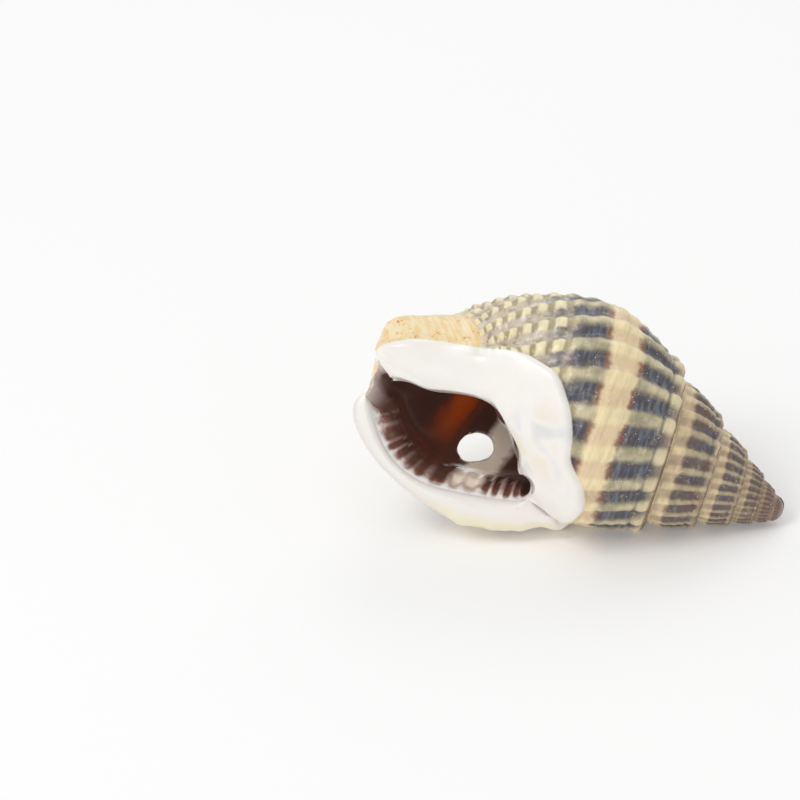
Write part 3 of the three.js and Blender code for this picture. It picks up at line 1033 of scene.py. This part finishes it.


# Specks, partly painted glints, growth lines, and the porcelain of the shield and the lip.
def finishOutside(work, colour, coilMark, turn, across, bands, end):
    look = outsideLook
    mottle = work.noise(coilMark, 1.7, 5, 0.6)
    colour = work.blend(work.fade(mottle, 0.5, 0.8, 0.3), colour, look["cream"])
    # White specks: partly worn chips in the shell, partly painted glints.
    chipsAndGlints = work.times(work.specks(coilMark, 4.2, 0.17), work.fade(mottle, 0.42, 0.55))
    colour = work.blend(work.times(chipsAndGlints, 0.8), colour, look["porcelain"])
    bent = work.combine(work.plus(work.times(mottle, 1.4), turn), across, end)
    rust = work.larger(work.specks(coilMark, 2.6, 0.15), work.specks(bent, 5.0, 0.16))
    rusty = work.times(rust, work.fade(mottle, 0.45, 0.56))
    clear = work.minus(1.0, work.times(bands, 0.8))
    clear = work.times(clear, work.plus(0.35, work.times(end, 0.5)))
    rusty = work.times(rusty, clear)
    colour = work.blend(rusty, colour, look["orange"])
    bits = work.noise(coilMark, 1.25, 4, 0.7)
    flecks = work.times(work.fade(bits, 0.6, 0.66), work.fade(mottle, 0.42, 0.52))
    colour = work.blend(work.times(flecks, work.times(end, 0.8)), colour, look["orange"])
    lipMark = work.mark("lipFace")
    nearLip = work.times(work.fade(turn, 0.06, 0.01), work.math("GREATER_THAN", turn, -0.01))
    nearLip = work.larger(nearLip, work.fade(lipMark, 0.0, 0.05))
    front = work.mark("towardsFront")
    lipEnd = work.fade(front, 1.65, 1.35)
    nearLip = work.times(nearLip, lipEnd)
    forward = work.fade(front, 0.0, 0.35)
    rim = work.blend(forward, look["lipCream"], look["lipGrey"])
    colour = work.blend(nearLip, colour, rim)
    start = work.times(work.minus(1.0, forward), 0.3)
    lipFace = work.times(work.fade(work.minus(lipMark, start), 0.1, 0.66), lipEnd)
    colour = work.blend(lipFace, colour, look["porcelain"])
    glaze = work.fade(work.mark("glaze"), -0.02, 0.1)
    colour = work.blend(glaze, colour, shieldColour(work, coilMark))
    ridges = work.noise(coilMark, 4.0, 3)
    bare = work.minus(1.0, work.larger(glaze, lipFace))
    work.emboss(work.times(ridges, bare), 0.3, 0.00007)
    return colour


# The glaze is thin towards the spire, where the shell below shows as cream and blue grey.
def shieldColour(work, coilMark):
    look = outsideLook
    x, _, z = work.split(coilMark)
    depth = work.times(z, -1.0)
    thin = work.times(work.between(depth, *look["thinGlazeDepth"]),
                      work.between(x, *look["thinGlazeSide"]))
    blotch = work.noise(coilMark, 0.5, 1)
    cloud = work.noise(coilMark, 0.6, 3)
    colour = work.blend(work.fade(cloud, 0.35, 0.7, 0.5), look["porcelain"], look["glazeWarm"])
    creamy = work.times(thin, work.fade(blotch, 0.44, 0.64, 0.5))
    bluish = work.times(thin, work.fade(blotch, 0.52, 0.34, 0.45))
    colour = work.blend(creamy, colour, look["glazeCream"])
    return work.blend(bluish, colour, look["glazeBlue"])


liningLook = {
    "dark": paint(88, 60, 52),
    "band": paint(248, 232, 214),
    "amberGlow": paint(204, 84, 8),
    "porcelain": paint(252, 248, 242),
    "toothGap": paint(150, 100, 86),
    "ridge": paint(172, 150, 140),
    "canal": paint(206, 192, 188),
    "canalDeep": paint(128, 98, 88),
    "roughness": 0.22,
    "coat": 0.4,
    "coatRoughness": 0.1,
    # painted light: the lining is made to glow with its own colour
    "glow": 0.12,             # the wall is thin enough to let a little light through
    "bandDepth": (18.1, 19.9, 0.3),
    "amberGlowDepth": (21.8, 23.4, 0.7),
}


def paintHollow(name):
    look = liningLook
    work = Paintwork(name)
    coilMark = work.mark("coil", "Vector")
    _, y, z = work.split(coilMark)
    depth = work.times(z, -1.0)
    inward = work.mark("inward")
    cloud = work.noise(coilMark, 0.9, 3)
    shift = work.times(work.minus(cloud, 0.5), 0.9)
    place = work.plus(work.mark("sectionDepth"), shift)
    band = work.between(place, *look["bandDepth"])
    colour = work.blend(band, look["dark"], look["band"])
    # Painted light: an amber glow on the lining, where light shining through the thin wall is painted in.
    glow = work.times(work.between(place, *look["amberGlowDepth"]), work.fade(inward, 0.1, 0.2))
    grown = work.combine(work.times(place, 1.6), work.times(inward, 3.0), 0.0)
    glow = work.times(glow, work.fade(work.noise(grown, 1.0, 3), 0.3, 0.55))
    colour = work.blend(work.times(glow, 0.85), colour, look["amberGlow"])
    # millimetres in from the edge of the lip
    past = work.times(work.minus(inward, 0.1), mouth["wayRound"])
    ragged = work.times(work.minus(work.noise(coilMark, 1.6, 3), 0.5), 0.9)
    reach = work.plus(work.larger(y, past), ragged)
    canalWay = work.fade(depth, 25.2, 26.8)
    canalColour = work.blend(work.fade(reach, 0.6, 2.8), look["canal"], look["canalDeep"])
    colour = work.blend(canalWay, colour, canalColour)
    clear = work.fade(depth, 27.2, 26.2)
    ridge = work.times(work.fade(work.mark("lira"), -0.1, 0.95), clear)
    colour = work.blend(work.fade(reach, 0.9, 0.2, 0.75), colour, look["toothGap"])
    pale = work.times(ridge, work.fade(reach, 1.9, 0.2, 0.85))
    colour = work.blend(pale, colour, look["ridge"])
    white = work.minus(reach, work.times(ridge, 0.25))
    white = work.fade(white, 0.45, -0.1)
    colour = work.blend(white, colour, look["porcelain"])
    # Painted light: the dark lining glows a little, in place of light let through the thin wall.
    shine = work.times(work.minus(1.0, white), look["glow"])
    work.feed(work.shader.inputs["Base Color"], colour)
    work.feed(work.shader.inputs["Emission Color"], colour)
    work.feed(work.shader.inputs["Emission Strength"], shine)
    work.gloss(look)
    work.emboss(cloud, 0.15, 0.0001)
    return work.material


drilledLook = {
    "pale": paint(226, 216, 204),
    "dull": paint(170, 158, 150),
    "roughness": 0.6,
}


def paintBore():
    look = drilledLook
    work = Paintwork("drilled edge")
    grain = work.noise(work.mark("coil", "Vector"), 2.5, 4)
    shade = work.blend(work.fade(grain, 0.3, 0.7, 0.6), look["pale"], look["dull"])
    work.feed(work.shader.inputs["Base Color"], shade)
    work.shader.inputs["Roughness"].default_value = look["roughness"]
    return work.material


studio = {
    "lookAtDepth": 24.7,
    "lookAtSide": -3.5,
    "elevation": math.radians(28.65),
    "roll": math.radians(-3.7),
    "distance": 0.28,
    "lens": 210,
    "sky": 0.64,
    "floor": paint(240, 240, 240),
    "floorHalf": 3.0,
    "floorRoughness": 0.8,
    "floorGlow": 0.15,              # a lit table keeps the shadow pale
    "lights": {
        "key": {"place": (-0.2, -0.12, 0.3), "size": 0.16, "power": 0.42},
        "rim": {"place": (0.1, 0.25, 0.25), "size": 0.25, "power": 0.17},
    },
}


def makeCamera(turn, shift):
    target = Vector(turn @ local(studio["lookAtDepth"], studio["lookAtSide"], 0) * mm + shift)
    tilt = studio["elevation"]
    forward = Vector((0, math.cos(tilt), -math.sin(tilt)))
    level = Vector((1, 0, 0))
    upright = level.cross(forward)
    right = level * math.cos(studio["roll"]) + upright * math.sin(studio["roll"])
    up = right.cross(forward)
    data = bpy.data.cameras.new("camera")
    data.lens = studio["lens"]
    data.clip_start = 0.01
    camera = putInScene("camera", data)
    place = target - forward * studio["distance"]
    camera.matrix_world = Matrix((
        (right.x, up.x, -forward.x, place.x),
        (right.y, up.y, -forward.y, place.y),
        (right.z, up.z, -forward.z, place.z),
        (0, 0, 0, 1)))
    bpy.context.scene.camera = camera
    return target


def makeLight(name, target, place, size, power):
    data = bpy.data.lights.new(name, "AREA")
    data.size = size
    data.energy = power
    light = putInScene(name, data)
    light.location = place
    light.rotation_euler = (target - Vector(place)).to_track_quat("-Z", "Y").to_euler()


def makeStudio(turn, shift):
    target = makeCamera(turn, shift)
    floorData = bpy.data.meshes.new("floor")
    half = studio["floorHalf"]
    floorData.from_pydata([(-half, -half, 0), (half, -half, 0), (half, half, 0), (-half, half, 0)],
                          [], [(0, 1, 2, 3)])
    floor = putInScene("floor", floorData)
    work = Paintwork("pale floor")
    work.shader.inputs["Base Color"].default_value = studio["floor"]
    work.shader.inputs["Roughness"].default_value = studio["floorRoughness"]
    work.shader.inputs["Emission Color"].default_value = (1, 1, 1, 1)
    work.shader.inputs["Emission Strength"].default_value = studio["floorGlow"]
    floorData.materials.append(work.material)
    for name, light in studio["lights"].items():
        makeLight(name, target, **light)
    world = bpy.data.worlds.new("soft room")
    world.use_nodes = True
    sky = world.node_tree.nodes["Background"].inputs
    sky["Color"].default_value = (1, 1, 1, 1)
    sky["Strength"].default_value = studio["sky"]
    bpy.context.scene.world = world
    bpy.context.scene.view_settings.view_transform = "Standard"


paints = {
    "outside": paintOutside(),
    "hollow": paintHollow("mouth lining"),
    "canal": paintHollow("canal wall"),
    "bore": paintBore(),
}
shellPiece = buildShell()
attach(shellPiece, "root")
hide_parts("shell")
print("shell built")

_, restTurn, restShift = layDown(np.zeros((1, 3)))
makeStudio(restTurn, restShift)
print("studio ready")
